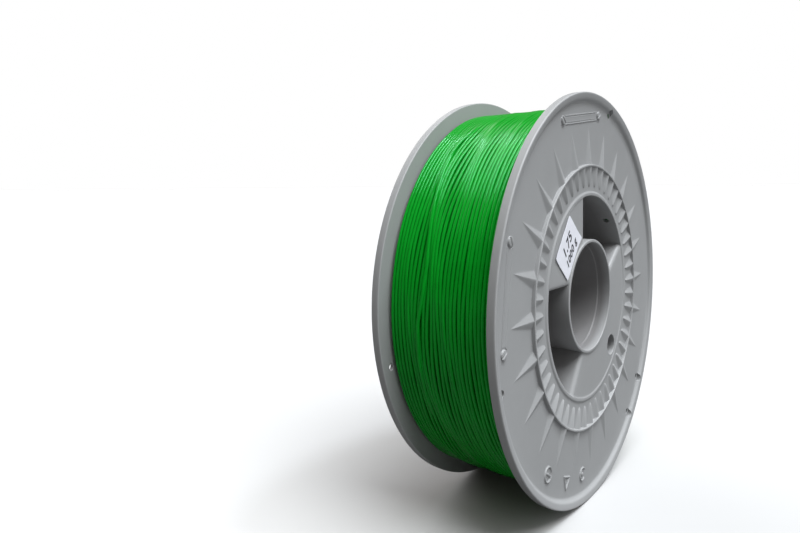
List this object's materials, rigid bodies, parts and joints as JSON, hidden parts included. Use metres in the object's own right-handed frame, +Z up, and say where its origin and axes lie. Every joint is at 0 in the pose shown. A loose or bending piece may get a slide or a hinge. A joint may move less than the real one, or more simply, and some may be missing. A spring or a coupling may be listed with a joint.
{
  "type": "filament spool",
  "caption": "Full spool of round plastic filament: two press-fitted flange halves with a toothed hub ring, hub windows and a central bore, carrying the wound strand and a small label.",
  "frame": {"origin": "centre of the bore, midway between the two rims", "axes": "+Y along the spool's axis, away from the labelled flange; +Z up as it stands on its rims; +X to the right when looking at the label"},
  "size_m": [0.2, 0.06, 0.2],
  "materials": {
    "moulded_plastic": "satin injection moulding, mid grey",
    "filament": "glossy, slightly translucent green strand",
    "label_paper": "smooth white coated label"
  },
  "bodies": {
    "label_half": {"label_side_half": "moulded_plastic", "filament_winding": "filament", "filament_start": "filament", "filament_end": "filament", "material_label": "label_paper"},
    "far_half": {"far_side_half": "moulded_plastic"}
  },
  "joints": [
    {"name": "far_half_pull", "type": "slide", "parent": "label_half", "child": "far_half", "axis": [0, 1, 0], "range_m": [0, 0.045]}
  ]
}
